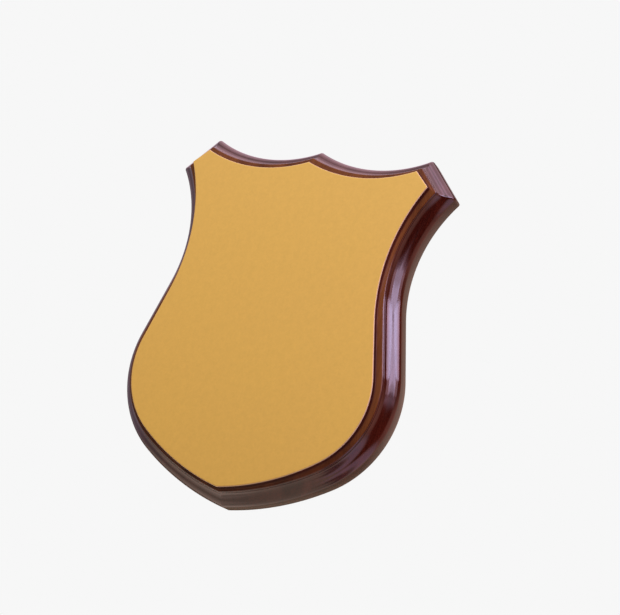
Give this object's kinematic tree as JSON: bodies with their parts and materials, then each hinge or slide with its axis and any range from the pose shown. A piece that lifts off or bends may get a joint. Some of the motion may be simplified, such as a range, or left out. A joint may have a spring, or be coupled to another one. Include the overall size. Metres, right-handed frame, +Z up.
{
  "type": "award shield plaque",
  "caption": "Wall-hung award shield: lacquered wooden shield with a moulded edge, a plain satin gold-coloured metal plate on its raised panel and a keyhole slot in the flat back.",
  "frame": {"origin": "middle of the flat back, on the shield's centre line and halfway up its height, where it rests against a wall", "axes": "+Z up towards the peak, +Y out of the back towards the wall, -Y towards the viewer, +X to the right as the front is seen"},
  "size_m": [0.2112, 0.0265, 0.2569],
  "materials": {
    "lacquered_wood": "dark red-brown stain under clear gloss lacquer",
    "satin_gold_metal": "fine satin, gold coloured, uncoated edge"
  },
  "bodies": {
    "root": {"wood_shield": "lacquered_wood", "face_plate": "satin_gold_metal"}
  },
  "joints": []
}
